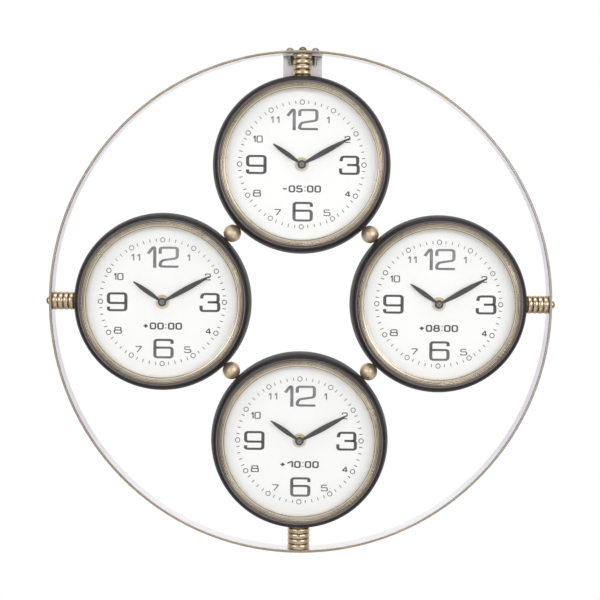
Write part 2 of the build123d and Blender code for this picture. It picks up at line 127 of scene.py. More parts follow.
target = Vector((hoop_centre.x + aim_across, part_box("outer_hoop")[0].y, hoop_centre.z + aim_up))
back = towards(0, camera_rise)
camera_data = bpy.data.cameras.new("camera")
camera_data.sensor_width = 36
camera_data.lens = camera_data.sensor_width * focal_pixels / frame_pixels
camera = new_object("camera", camera_data)
camera.location = target + back * camera_distance
level = back.to_track_quat("Z", "Y").to_matrix().to_4x4()
camera.rotation_euler = (level @ Matrix.Rotation(radians(camera_roll), 4, "Z")).to_euler()
scene.camera = camera
print("lens:", round(camera_data.lens, 1), "mm")

# %% [markdown]
# The world, the finishes and the shapes that follow a rule are all trees of nodes. Four helpers keep a tree
# short: one links a socket or sets its value, one places a node, and two place the nodes used most.

# %% Helpers for nodes


def connect(tree, value, socket):
    """Links a socket to another one, or gives it a plain value."""
    if isinstance(value, bpy.types.NodeSocket):
        tree.links.new(value, socket)
    else:
        socket.default_value = value


def add_node(tree, kind, inputs=None, **settings):
    """A new node with these settings, its inputs given as values or as sockets to link."""
    made = tree.nodes.new(kind)
    for name, value in settings.items():
        setattr(made, name, value)
    for key, value in (inputs or {}).items():
        connect(tree, value, made.inputs[key])
    return made


def maths(tree, operation, *values, clamp=False):
    """The output of one Math node."""
    inputs = dict(enumerate(values))
    return add_node(tree, "ShaderNodeMath", inputs, operation=operation, use_clamp=clamp).outputs[0]


def remap(tree, value, low, high, to_low, to_high):
    """A value moved from one range to another, and kept inside it."""
    inputs = {0: value, 1: low, 2: high, 3: to_low, 4: to_high}
    return add_node(tree, "ShaderNodeMapRange", inputs).outputs[0]


print("helpers for nodes are ready")

# %% [markdown]
# Brass shows what stands round it. Two wide soft boxes, left and right of the camera and a little above it,
# put the pair of bright streaks on every post and ball. A third one overhead lights what faces up. Most of
# the light comes from a fill right behind the camera, because only such light reaches the foot of the deep
# bezels, and a weaker one does the same for the back. Neither fill shows in metal or glass. The floor lies
# well below, because the clock hangs on a wall, and it takes the clock's shadow.
#
# The camera sees plain white behind the clock. Metal and glass mirror the same white wall there, but to the
# sides and towards the camera the room is dim, as a studio is, and that draws the dark outlines on brass.

# %% Light the room
scene.view_settings.view_transform = "Standard"

room_light = 0.19
dim_side = 0.44
dim_front = 0.6
softbox_turn = 42
softbox_rise = 14
softbox_distance = 1.7
softbox_size = (1.15, 0.5)
softbox_power = {"left": 4.6, "right": 6.6}
top_rise = 75
top_size = (1.6, 1.0)
top_power = 11
fill_rise = 5
fill_size = (1.4, 1.2)
fill_distance = 2.4
fill_power = 30
back_rise = 25
back_power = 20
wall_edge = (0.4, 0.75)
front_edge = (-0.7, -0.95)


def add_lamp(name, turn, rise, distance, size, power):
    """A rectangular lamp that looks at the clock from this turn to the right and this rise, in degrees."""
    lamp = bpy.data.lights.new(name, "AREA")
    lamp.shape = "RECTANGLE"
    lamp.size, lamp.size_y = size
    lamp.energy = power
    holder = new_object(name, lamp)
    out = towards(turn, rise)
    holder.location = hoop_centre + out * distance
    holder.rotation_euler = out.to_track_quat("Z", "Y").to_euler()
    return holder


for side, turn in (("left", -softbox_turn), ("right", softbox_turn)):
    add_lamp(f"softbox_{side}", turn, softbox_rise, softbox_distance, softbox_size, softbox_power[side])
add_lamp("softbox_top", 0, top_rise, softbox_distance, top_size, top_power)
fill = add_lamp("fill", 0, fill_rise, fill_distance, fill_size, fill_power)
back_fill = add_lamp("back_fill", 180, back_rise, fill_distance, fill_size, back_power)
for lamp in (fill, back_fill):
    lamp.visible_glossy = False
    lamp.visible_transmission = False

world = bpy.data.worlds.new("room")
scene.world = world
world.use_nodes = True
sky = world.node_tree
sky.nodes.clear()
rays = add_node(sky, "ShaderNodeLightPath")
direction = add_node(sky, "ShaderNodeTexCoord").outputs["Generated"]
away = add_node(sky, "ShaderNodeSeparateXYZ", {0: direction}).outputs[1]
wall = remap(sky, away, *wall_edge, dim_side, 1)
front = remap(sky, away, *front_edge, dim_side, dim_front)
by_mirror = maths(sky, "MAXIMUM", rays.outputs["Is Glossy Ray"], rays.outputs["Is Transmission Ray"])
mirrored = maths(sky, "MULTIPLY", by_mirror, maths(sky, "MAXIMUM", wall, front))
seen = maths(sky, "MAXIMUM", rays.outputs["Is Camera Ray"], mirrored)
strength = maths(sky, "MAXIMUM", seen, room_light)
background = add_node(sky, "ShaderNodeBackground", {"Color": (1, 1, 1, 1), "Strength": strength})
add_node(sky, "ShaderNodeOutputWorld", {"Surface": background.outputs[0]})

floor_drop = 0.9
floor_half = 2.2
floor_mesh = bpy.data.meshes.new("floor")
floor_z = cad_low.z - floor_drop
SQUARE = [(-1, -1), (1, -1), (1, 1), (-1, 1)]
floor_mesh.from_pydata([(floor_half * x, floor_half * y, floor_z) for x, y in SQUARE], [], [(0, 1, 2, 3)])
floor = new_object("floor", floor_mesh)
print("lamps: 5, floor at", round(floor_z, 3), "m")

# %% [markdown]
# A finish is a material made of nodes. Some helpers make a material and keep it by its name, make a group
# of nodes with named inputs and outputs, and place such a group in a tree. Colours are written as they look
# on a screen, from 0 to 255, and turned into the linear values that shaders use.

# %% Helpers for finishes


def colour(red, green, blue):
    """A screen colour as a linear one."""
    def linear(value):
        share = value / 255
        return share / 12.92 if share <= 0.04045 else ((share + 0.055) / 1.055) ** 2.4
    return (linear(red), linear(green), linear(blue), 1)


finishes = {}


def new_finish(name, **sockets):
    """Keeps a new material under its name. Gives its tree and its shader, with these plain values."""
    material = bpy.data.materials.new(name)
    material.use_nodes = True
    shader = material.node_tree.nodes["Principled BSDF"]
    for key, value in sockets.items():
        shader.inputs[key.replace("_", " ")].default_value = value
    finishes[name] = material
    return material.node_tree, shader


def new_group(name, inputs, outputs):
    """A shader node group. Inputs are name: default value, outputs are name: kind of socket."""
    tree = bpy.data.node_groups.new(name, "ShaderNodeTree")
    for label, value in inputs.items():
        kind = "NodeSocketVector" if value is None else "NodeSocketFloat"
        socket = tree.interface.new_socket(label, in_out="INPUT", socket_type=kind)
        if value is not None:
            socket.default_value = value
    for label in outputs:
        tree.interface.new_socket(label, in_out="OUTPUT", socket_type="NodeSocketFloat")
    return tree, tree.nodes.new("NodeGroupInput").outputs, tree.nodes.new("NodeGroupOutput").inputs


def use_group(tree, group, **inputs):
    """The outputs of a group placed in a tree with these inputs."""
    placed = tree.nodes.new("ShaderNodeGroup")
    placed.node_tree = group
    for key, value in inputs.items():
        connect(tree, value, placed.inputs[key.replace("_", " ")])
    return placed.outputs


def blend(tree, factor, first, second):
    """A mix of two colours by a mask."""
    mix = add_node(tree, "ShaderNodeMix", data_type="RGBA")
    sockets = [socket for socket in mix.inputs if socket.enabled]
    for value, socket in zip((factor, first, second), sockets):
        connect(tree, value, socket)
    return next(socket for socket in mix.outputs if socket.enabled)


def bump(tree, shader, height, distance, strength=1.0):
    """Feeds a height to the shader's normal. The distance is how far a height of 1 stands out."""
    made = add_node(tree, "ShaderNodeBump", {"Height": height, "Distance": distance, "Strength": strength})
    connect(tree, made.outputs[0], shader.inputs["Normal"])


def here(tree):
    """The Object coordinates, which stay with a piece when it turns."""
    return add_node(tree, "ShaderNodeTexCoord").outputs["Object"]


def tint(tree, share, mask, first, second):
    """A mix of two colours by a share of a mask."""
    return blend(tree, maths(tree, "MULTIPLY", mask, share), first, second)


def paint(tree, shader, shade):
    """Gives the shader this colour."""
    connect(tree, shade, shader.inputs["Base Color"])


def set_range(tree, shader, name, mask, low, high):
    """Lets one socket of the shader run from low to high with a mask."""
    connect(tree, remap(tree, mask, 0, 1, low, high), shader.inputs[name])


print("helpers for finishes are ready")

# %% [markdown]
# Nearly every finish on the heads is turned or spun, so its marks run in rings round the axis of the head.
# The four heads sit at the four ends of a cross, so the nearest one is known from whether a point is further
# to the side or further up. One group takes that head's place away, and gives how far a point is to the
# right of the axis, how far above it, its radius, and how far out it is along the arm of a post. It also
# gives the radius from the middle of the hoop.

# %% Group: places on the nearest head
head_places, given, result = new_group(
    "head_places", {"Vector": None}, ("Across", "Up", "Radius", "Along", "Hoop radius"))
parts = add_node(head_places, "ShaderNodeSeparateXYZ", {0: given["Vector"]}).outputs
side = maths(head_places, "SUBTRACT", parts[0], hoop_centre.x)
rise = maths(head_places, "SUBTRACT", parts[2], hoop_centre.z)
side_reach = maths(head_places, "ABSOLUTE", side)
rise_reach = maths(head_places, "ABSOLUTE", rise)
beside = maths(head_places, "GREATER_THAN", side_reach, rise_reach)
over = maths(head_places, "SUBTRACT", 1, beside)
side_step = maths(head_places, "MULTIPLY", maths(head_places, "SIGN", side), beside)
rise_step = maths(head_places, "MULTIPLY", maths(head_places, "SIGN", rise), over)
across = maths(head_places, "MULTIPLY_ADD", side_step, -head_pitch, side)
up = maths(head_places, "MULTIPLY_ADD", rise_step, -head_pitch, rise)


def add_length(first, second, name):
    """Puts out the length of two parts that stand square to each other."""
    total = maths(head_places, "MULTIPLY_ADD", first, first, maths(head_places, "MULTIPLY", second, second))
    connect(head_places, maths(head_places, "SQRT", total), result[name])


add_length(across, up, "Radius")
add_length(side, rise, "Hoop radius")
connect(head_places, across, result["Across"])
connect(head_places, up, result["Up"])
across_reach = maths(head_places, "ABSOLUTE", across)
up_reach = maths(head_places, "ABSOLUTE", up)
connect(head_places, maths(head_places, "MAXIMUM", across_reach, up_reach), result["Along"])


def on_head(tree):
    """Where a point of the surface lies on its head."""
    return use_group(tree, head_places, Vector=here(tree))


print("group head_places:", len(head_places.nodes), "nodes")

# %% [markdown]
# Old brass, sheet and lacquer are never even: polish, handling and plating leave soft clouds. A noise with
# its contrast raised gives a mask for them, and every finish uses it at a size of its own. The size is in
# metres on the object, so the clouds don't change when the camera moves.

# %% Group: mottle
mottle, given, result = new_group("mottle", {"Vector": None, "Size": 0.002, "Contrast": 1.0}, ("Mask",))
noise_inputs = {"Vector": given["Vector"], "Scale": maths(mottle, "DIVIDE", 1, given["Size"]), "Detail": 4,
                "Roughness": 0.6}
clouds = add_node(mottle, "ShaderNodeTexNoise", noise_inputs).outputs[0]
centred = maths(mottle, "SUBTRACT", clouds, 0.5)
connect(mottle, maths(mottle, "MULTIPLY_ADD", centred, given["Contrast"], 0.5, clamp=True), result["Mask"])


def cloud_mask(tree, size, contrast):
    """A mask of soft clouds of this size."""
    return use_group(tree, mottle, Vector=here(tree), Size=size, Contrast=contrast)["Mask"]


print("group mottle:", len(mottle.nodes), "nodes")

# %% [markdown]
# A lathe tool or a spinning roller leaves rings of uneven width. A noise along one line, the radius, has
# just that look when it is wrapped round the axis, while a sine wave would look like a gramophone record.

# %% Group: turned lines
turned_lines, given, result = new_group("turned_lines", {"Radius": 0.0, "Pitch": 0.001}, ("Lines",))
line_inputs = {"W": maths(turned_lines, "DIVIDE", given["Radius"], given["Pitch"]), "Scale": 1, "Detail": 2}
rings = add_node(turned_lines, "ShaderNodeTexNoise", line_inputs, noise_dimensions="1D").outputs[0]
connect(turned_lines, remap(turned_lines, rings, 0.3, 0.7, 0, 1), result["Lines"])


def line_mask(tree, radius, pitch):
    """A mask of rings that lie about this far apart."""
    return use_group(tree, turned_lines, Radius=radius, Pitch=pitch)["Lines"]


print("group turned_lines:", len(turned_lines.nodes), "nodes")

# %% [markdown]
# Dirt and dark patina collect in grooves, and shade falls there too, while highlights sit on rims. Where a
# groove lies is known from the drawing, so a mask that is 1 at one radius and falls to 0 beside it can darken
# a groove with patina and painted shade, or paint a highlight on a rim.

# %% Group: a mask beside one value
near_value, given, result = new_group("near_value", {"Value": 0.0, "Place": 0.0, "Width": 0.001}, ("Mask",))
gap = maths(near_value, "ABSOLUTE", maths(near_value, "SUBTRACT", given["Value"], given["Place"]))
connect(near_value, remap(near_value, gap, 0, given["Width"], 1, 0), result["Mask"])


def mask_near(tree, value, place, width):
    """A mask that is 1 where the value is at this place."""
    return use_group(tree, near_value, Value=value, Place=place, Width=width)["Mask"]


print("group near_value:", len(near_value.nodes), "nodes")

# %% [markdown]
# The cases are spun steel in a nearly black bronze finish. The finish is satin, with faint rings from the
# spinning. On the inner slope of the lip a greyer, less metallic tone is painted between the rings, as a
# painted sheen.

# %% Finish of the cases
case_outside = half_width("case_top")
lip_sheen_radius = case_outside - 7.2 * MM
lip_sheen_width = 1.7 * MM
tree, shader = new_finish("dark_case", Metallic=0.6, Roughness=0.42, Specular_IOR_Level=0.35)
places = on_head(tree)
lines = line_mask(tree, places["Radius"], 0.75 * MM)
clouds = cloud_mask(tree, 9 * MM, 2.0)
# Painted sheen on the inner slope of the lip, striped by the rings.
lip_sheen = mask_near(tree, places["Radius"], lip_sheen_radius, lip_sheen_width)
lip_sheen = maths(tree, "MULTIPLY", maths(tree, "POWER", lip_sheen, 0.6), maths(tree, "MULTIPLY_ADD", lines, 0.6, 0.35))
dark = blend(tree, clouds, colour(44, 41, 41), colour(60, 56, 56))
paint(tree, shader, blend(tree, lip_sheen, dark, colour(176, 167, 168)))
set_range(tree, shader, "Metallic", lip_sheen, 0.6, 0.15)
set_range(tree, shader, "Roughness", clouds, 0.42, 0.54)
bump(tree, shader, lines, 0.03 * MM, 0.5)
print("case radius in mm:", round(case_outside / MM, 2))

# %% [markdown]
# A bezel is a turned ring of antique brass with three fine beads and a sloped band inside them. The grooves
# between the beads hold patina, left before the lacquer went on, and are darkened further as painted shade,
# and a dark line on the middle of the band is a painted reflection. The outer bead is painted the grey of the
# case lip's sheen beside it, so the brass seems to start one bead further in. A painted highlight runs round
# the band, and the innermost rim is painted nearly white as a highlight. The fine tool marks are far narrower
# than a pixel, so they only soften the mirror.

# %% Finish of the bezels
bezel_outside = half_width("bezel_top")
bead_width = 1.35 * MM
bezel_width = 6.7 * MM
band_middle = 5.7 * MM
dark_line_width = 0.4 * MM
highlight_inset = 4.8 * MM
highlight_width = 0.8 * MM
rim_width = 0.6 * MM
bead_foot = bezel_outside - bead_width
outer_bead_paint_starts = (bead_foot - 0.6 * MM, bead_foot - 0.2 * MM)
tree, shader = new_finish("bezel_brass", Metallic=1.0, Roughness=0.28)
places = on_head(tree)
clouds = cloud_mask(tree, 6 * MM, 1.6)
patina_and_shade_lines = 0
# Dark lines: patina with painted shade in the two grooves, and a painted reflection on the middle of the
# band.
for inset in (2 * bead_width, 3 * bead_width, band_middle):
    mask = mask_near(tree, places["Radius"], bezel_outside - inset, dark_line_width)
    patina_and_shade_lines = maths(tree, "MAXIMUM", patina_and_shade_lines, mask)
# Painted highlight along the band.
band_highlight = mask_near(tree, places["Radius"], bezel_outside - highlight_inset, highlight_width)
rim_start = bezel_outside - bezel_width
# Painted highlight: the innermost rim is painted nearly white.
rim = remap(tree, places["Radius"], rim_start, rim_start + rim_width, 1, 0)
# The outer bead is painted the grey of the case lip's painted sheen.
outer_bead = remap(tree, places["Radius"], *outer_bead_paint_starts, 0, 1)
brass = blend(tree, clouds, colour(204, 189, 164), colour(224, 212, 190))
brass = blend(tree, band_highlight, brass, colour(253, 247, 232))
brass = tint(tree, 0.85, patina_and_shade_lines, brass, colour(120, 103, 80))
brass = tint(tree, 0.9, rim, brass, colour(252, 250, 244))
paint(tree, shader, blend(tree, outer_bead, brass, colour(150, 140, 130)))
set_range(tree, shader, "Roughness", clouds, 0.24, 0.34)
print("bezel radius in mm:", round(bezel_outside / MM, 2))

# %% [markdown]
# The posts, the balls and the dome screws have the same antique brass, warm and cloudy where a cloth has
# been. The posts have ribs at an even pitch, so the distance out along a post, divided by the pitch, shows
# how near the closest groove is. The grooves are painted darker, partly as patina and partly as painted
# shade. The balls are painted paler and made mattest, as painted light, and the top screw is painted dark.

# %% Finish of posts, balls and dome screws
rib_count = 4
post_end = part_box("ribbed_spacer_right")[1].x - head_centre["right"].x
rib_pitch = (post_end - case_outside) / rib_count
post_start = case_outside - 0.5 * MM
ball_end = case_outside - 5 * MM
top_screw_start = post_end + hoop_thickness / 2
groove_width = (0.04, 0.2)
ball_mattness = 0.16
tree, shader = new_finish("antique_brass", Metallic=1.0, Roughness=0.3)
places = on_head(tree)
clouds = cloud_mask(tree, 3 * MM, 2.2)
grain = cloud_mask(tree, 0.5 * MM, 1.4)
ribs = maths(tree, "DIVIDE", maths(tree, "SUBTRACT", places["Along"], case_outside), rib_pitch)
from_groove = maths(tree, "ABSOLUTE", maths(tree, "SUBTRACT", ribs, maths(tree, "ROUND", ribs)))
on_post = maths(tree, "GREATER_THAN", places["Along"], post_start)
# Painted shade with patina in the grooves of the posts.
groove_patina_and_shade = maths(tree, "MULTIPLY", remap(tree, from_groove, *groove_width, 1, 0), on_post)
on_ball = maths(tree, "LESS_THAN", places["Along"], ball_end)
on_top_screw = maths(tree, "GREATER_THAN", places["Up"], top_screw_start)
warm = blend(tree, clouds, colour(222, 199, 165), colour(242, 223, 194))
warm = tint(tree, 0.3, grain, warm, colour(176, 154, 120))
# Painted light: the balls are painted paler than the rest.
warm = tint(tree, 0.7, on_ball, warm, colour(252, 228, 198))
# The top screw is painted dark.
warm = tint(tree, 0.85, on_top_screw, warm, colour(96, 84, 76))
paint(tree, shader, blend(tree, groove_patina_and_shade, warm, colour(146, 122, 86)))
set_range(tree, shader, "Metallic", on_ball, 1, 0.78)
matt = maths(tree, "MULTIPLY_ADD", on_ball, ball_mattness, remap(tree, clouds, 0, 1, 0.24, 0.34))
connect(tree, matt, shader.inputs["Roughness"])
bump(tree, shader, grain, 0.01 * MM, 0.3)
print("rib pitch in mm:", round(rib_pitch / MM, 2))

# %% [markdown]
# The hoop is steel strip with a thin antique brass wash, greyish on its edges and greyer towards the right.
# Inside it is nearly silver, painted palest at top and bottom and a little darker and lilac at its left and
# right, as painted shade and reflection. Rolling it left faint lines along the strip, which are lines of
# equal depth. They stand out on the outside and the edges, and the inside is smooth.

# %% Finish of the hoop
inside_edge = (hoop_inside + 0.05 * MM, hoop_inside + 0.35 * MM)
greyer_right_range = (0.3 * hoop_outside, 0.85 * hoop_outside)
side_shade_fades = (0.5 * hoop_outside, 0.8 * hoop_outside)
tree, shader = new_finish("hoop_finish", Metallic=1.0, Roughness=0.34)
places = on_head(tree)
parts = add_node(tree, "ShaderNodeSeparateXYZ", {0: here(tree)}).outputs
rolled = line_mask(tree, parts[1], 1.3 * MM)
clouds = cloud_mask(tree, 14 * MM, 2.0)
inside = remap(tree, places["Hoop radius"], *inside_edge, 1, 0)
strip = blend(tree, clouds, colour(187, 173, 150), colour(212, 200, 178))
strip = tint(tree, 0.3, rolled, strip, colour(157, 143, 120))
# The strip turns greyer towards the right.
greyer_right = remap(tree, parts[0], *greyer_right_range, 0, 0.7)
strip = blend(tree, greyer_right, strip, colour(206, 202, 196))
level = maths(tree, "ABSOLUTE", maths(tree, "SUBTRACT", parts[2], hoop_centre.z))
# Painted shade and reflection: darker and lilac towards the left and right of the inside, palest at top and
# bottom.
painted_side_shade = remap(tree, level, *side_shade_fades, 1, 0)
pale = blend(tree, painted_side_shade, colour(253, 251, 252), colour(228, 220, 232))
pale = tint(tree, 0.25, rolled, pale, colour(216, 210, 214))
paint(tree, shader, blend(tree, inside, strip, pale))
set_range(tree, shader, "Roughness", clouds, 0.28, 0.42)
bump(tree, shader, maths(tree, "MULTIPLY", rolled, maths(tree, "SUBTRACT", 1, inside)), 0.02 * MM, 0.4)
print("hoop radius in mm:", round(hoop_outside / MM, 2))

# %% [markdown]
# The dials are steel pans with a white coat, painted a touch darker and creamier towards the edge as a
# painted shade near the bezel. The coat has a very fine orange peel.

# %% Finish of the dials
dial_edge_start = 69 * MM
dial_edge_end = 76 * MM
tree, shader = new_finish("white_dial", Roughness=0.5)
places = on_head(tree)
peel = cloud_mask(tree, 1.2 * MM, 1.0)
# Painted shade: the coat turns a touch darker and creamier towards the edge.
edge = remap(tree, places["Radius"], dial_edge_start, dial_edge_end, 0, 1)
coat = blend(tree, edge, colour(247, 247, 246), colour(246, 243, 236))
paint(tree, shader, tint(tree, 0.2, peel, coat, colour(238, 238, 236)))
set_range(tree, shader, "Roughness", peel, 0.42, 0.56)
bump(tree, shader, peel, 0.01 * MM, 0.3)
print("dial finish is ready")

# %% [markdown]
# The print on the dials is a dark grey ink, a touch uneven everywhere. Near twelve and under the six it is
# painted lighter in patches, as a painted sheen on the ink. The hands are sheet with a black lacquer, which
# shows a fine brushed grain beneath. The cap over their hub is bare metal, painted a pale lilac grey that
# also stands for its sheen, with a small dark dot at its middle.

# %% Ink and lacquer
top_sheen_fades = (18 * MM, 46 * MM)
foot_sheen_fades = (-34 * MM, -56 * MM)
cap_edge = (2.2 * MM, 2.5 * MM)
dimple_edge = (0.5 * MM, 0.9 * MM)
tree, shader = new_finish("dial_ink", Roughness=0.55, Specular_IOR_Level=0.3)
places = on_head(tree)
clouds = cloud_mask(tree, 1.5 * MM, 1.5)
patches = cloud_mask(tree, 16 * MM, 2.4)
# Painted sheen: the ink is painted lighter near twelve and under the six.
top_sheen = remap(tree, places["Up"], *top_sheen_fades, 0, 1)
foot_sheen = remap(tree, places["Up"], *foot_sheen_fades, 0, 0.5)
patchy = maths(tree, "MULTIPLY_ADD", patches, 0.5, 0.5)
ink_sheen = maths(tree, "MULTIPLY", maths(tree, "MAXIMUM", top_sheen, foot_sheen), patchy)
full = blend(tree, clouds, colour(58, 58, 59), colour(68, 68, 69))
paint(tree, shader, blend(tree, ink_sheen, full, colour(142, 142, 144)))

tree, shader = new_finish("black_hand", Roughness=0.45, Specular_IOR_Level=0.35)
clouds = cloud_mask(tree, 2 * MM, 1.8)
grain = cloud_mask(tree, 0.3 * MM, 1.2)
places = on_head(tree)
# The cap is painted a pale lilac grey, partly a painted sheen, with a dark dot at its middle.
cap = remap(tree, places["Radius"], *cap_edge, 1, 0)
dimple = remap(tree, places["Radius"], *dimple_edge, 1, 0)
lacquer = blend(tree, clouds, colour(38, 39, 38), colour(56, 57, 55))
lacquer = blend(tree, cap, lacquer, colour(124, 114, 122))
paint(tree, shader, blend(tree, dimple, lacquer, colour(60, 52, 52)))
set_range(tree, shader, "Roughness", grain, 0.4, 0.52)
bump(tree, shader, grain, 0.008 * MM, 0.3)
print("ink and lacquer are ready")

# %% [markdown]
# The washer and nut round the hands are bare brass, turned bright, and the hour pipes are the same. The
# minute arbors are drawn steel.

# %% Bright brass and steel
washer_outside = half_width("fixing_nut_top")
nut_outside = 5.3 * MM
golden_rise = (3 * MM, 6 * MM)
tree, shader = new_finish("bright_brass", Metallic=0.4, Roughness=0.3)
places = on_head(tree)
radius = places["Radius"]
lines = line_mask(tree, radius, 0.35 * MM)
clouds = cloud_mask(tree, 2 * MM, 1.8)
washer_edge = mask_near(tree, radius, washer_outside, 0.7 * MM)
nut_edge = mask_near(tree, radius, nut_outside, 0.6 * MM)
golden = remap(tree, places["Up"], *golden_rise, 0, 1)
brass = blend(tree, clouds, colour(247, 240, 218), colour(252, 247, 232))
brass = blend(tree, golden, brass, colour(240, 216, 140))
brass = tint(tree, 0.2, lines, brass, colour(222, 204, 150))
edges = maths(tree, "MULTIPLY", maths(tree, "MAXIMUM", washer_edge, nut_edge), 0.7)
paint(tree, shader, blend(tree, edges, brass, colour(140, 116, 66)))
set_range(tree, shader, "Roughness", lines, 0.18, 0.32)
bump(tree, shader, lines, 0.015 * MM, 0.4)

tree, shader = new_finish("shaft_steel", Metallic=1.0, Roughness=0.3)
drawn = cloud_mask(tree, 0.4 * MM, 1.6)
paint(tree, shader, blend(tree, drawn, colour(168, 168, 170), colour(202, 202, 204)))
set_range(tree, shader, "Roughness", drawn, 0.22, 0.38)
print("bright brass and steel are ready")

# %% [markdown]
# Nuts, studs and the two bracket screws are plated with bright zinc, which is bluish and slightly cloudy.
# The bracket is cut from galvanised sheet. Its zinc froze in flat crystals a few millimetres wide, each
# with a brightness of its own, and a Voronoi pattern gives one random value for each crystal.

# %% Zinc and galvanised sheet
tree, shader = new_finish("zinc", Metallic=1.0, Roughness=0.3)
clouds = cloud_mask(tree, 1.6 * MM, 2.0)
places = on_head(tree)
above_hoop = maths(tree, "GREATER_THAN", places["Hoop radius"], hoop_outside - 0.5 * hoop_thickness)
plating = blend(tree, clouds, colour(128, 126, 126), colour(176, 176, 178))
paint(tree, shader, blend(tree, above_hoop, plating, colour(146, 142, 142)))
set_range(tree, shader, "Roughness", clouds, 0.26, 0.42)
bump(tree, shader, clouds, 0.01 * MM, 0.3)

spangle_size = 4 * MM
tree, shader = new_finish("galvanised_sheet", Metallic=0.6, Roughness=0.42)
crystals = add_node(tree, "ShaderNodeTexVoronoi", {"Vector": here(tree), "Scale": 1 / spangle_size})
bright = add_node(tree, "ShaderNodeSeparateColor", {0: crystals.outputs["Color"]}).outputs[0]
clouds = cloud_mask(tree, 1.1 * MM, 1.6)
sheet = blend(tree, bright, colour(224, 219, 219), colour(240, 237, 237))
paint(tree, shader, tint(tree, 0.3, clouds, sheet, colour(204, 199, 199)))
set_range(tree, shader, "Roughness", bright, 0.34, 0.52)
bump(tree, shader, clouds, 0.01 * MM, 0.3)
print("zinc and galvanised sheet are ready")

# %% [markdown]
# The movements are moulded in black plastic with the fine texture of a spark-cut mould. The set knobs are
# pale plastic of the same kind. A battery has a lacquered jacket on a steel can whose ends stay bare, so its
# finish changes to steel near both ends. The jacket is plain, with one pale ring at the plus end.

# %% Plastics and battery
tree, shader = new_finish("movement_plastic", Roughness=0.55)
grain = cloud_mask(tree, 0.45 * MM, 1.8)
clouds = cloud_mask(tree, 12 * MM, 1.4)
paint(tree, shader, blend(tree, clouds, colour(34, 34, 35), colour(46, 46, 47)))
set_range(tree, shader, "Roughness", grain, 0.48, 0.64)
bump(tree, shader, grain, 0.03 * MM, 0.5)

tree, shader = new_finish("knob_plastic", Roughness=0.5)
grain = cloud_mask(tree, 0.4 * MM, 1.6)
paint(tree, shader, blend(tree, grain, colour(214, 212, 204), colour(226, 224, 217)))
set_range(tree, shader, "Roughness", grain, 0.42, 0.56)
bump(tree, shader, grain, 0.02 * MM, 0.4)

battery_half = half_width("battery_top")
bare_minus = 1.0 * MM
bare_plus = 2.4 * MM
jacket_start = bare_minus - battery_half
jacket_end = battery_half - bare_plus
ring_place = jacket_end - 5 * MM
ring_width = 1.2 * MM
tree, shader = new_finish("battery_jacket", Roughness=0.3, Coat_Weight=0.4)
places = on_head(tree)
clouds = cloud_mask(tree, 3 * MM, 1.6)
ring = mask_near(tree, places["Across"], ring_place, ring_width)
jacket = blend(tree, clouds, colour(44, 54, 70), colour(54, 64, 82))
jacket = blend(tree, maths(tree, "GREATER_THAN", ring, 0.4), jacket, colour(196, 200, 206))
before_start = maths(tree, "LESS_THAN", places["Across"], jacket_start)
bare = maths(tree, "MAXIMUM", before_start, maths(tree, "GREATER_THAN", places["Across"], jacket_end))
paint(tree, shader, blend(tree, bare, jacket, colour(198, 199, 202)))
connect(tree, bare, shader.inputs["Metallic"])
set_range(tree, shader, "Roughness", clouds, 0.24, 0.36)
print("battery half length in mm:", round(battery_half / MM, 2))

# %% [markdown]
# The glasses are flat clear panes. A glass shader alone would throw a dark shadow on the dial, because a
# light can't be found through it by chance. So for shadow and diffuse rays the pane is simply transparent,
# and for what the camera sees it reflects and refracts as glass does.

# %% Glass
tree, shader = new_finish("clear_glass", Roughness=0.0, IOR=1.5, Transmission_Weight=1.0)
shader.inputs["Base Color"].default_value = colour(254, 254, 254)
rays = add_node(tree, "ShaderNodeLightPath")
passing = maths(tree, "MAXIMUM", rays.outputs["Is Shadow Ray"], rays.outputs["Is Diffuse Ray"])
clear = add_node(tree, "ShaderNodeBsdfTransparent").outputs[0]
mixed = add_node(tree, "ShaderNodeMixShader", {0: passing, 1: shader.outputs[0], 2: clear}).outputs[0]
connect(tree, mixed, tree.nodes["Material Output"].inputs["Surface"])
print("glass is ready")

# %% [markdown]
# The record names a finish slot for every node, so one loop gives each node of the frame its material. The
# floor gets a plain pale one. The lamps stand high and leave it dim, so it glows a little where the camera
# sees it. That light reaches the camera alone, and the clock isn't lit by it.

# %% Give the nodes their finishes
for part in frame["record"]["subparts"]:
    for slot in nodes[part["node"]].material_slots:
        slot.material = finishes[part["material_slot"]]
tree, shader = new_finish("floor_paint", Roughness=0.8)
floor_glow = 0.4
shader.inputs["Base Color"].default_value = colour(236, 236, 235)
shader.inputs["Emission Color"].default_value = (1, 1, 1, 1)
seen = add_node(tree, "ShaderNodeLightPath").outputs["Is Camera Ray"]
connect(tree, maths(tree, "MULTIPLY", seen, floor_glow), shader.inputs["Emission Strength"])
floor_mesh.materials.append(finishes["floor_paint"])
print("finishes:", sorted(finishes))

# %% [markdown]
# The figures on the dials are drawn with a pen that is wider across than up, so upright strokes are thicker
# than level ones. Each figure is a path in a box one unit wide and high. A path is rounded at its corners
# and swept with the pen into a flat bar, which stands 0.03 mm out of the dial as a layer of ink does.

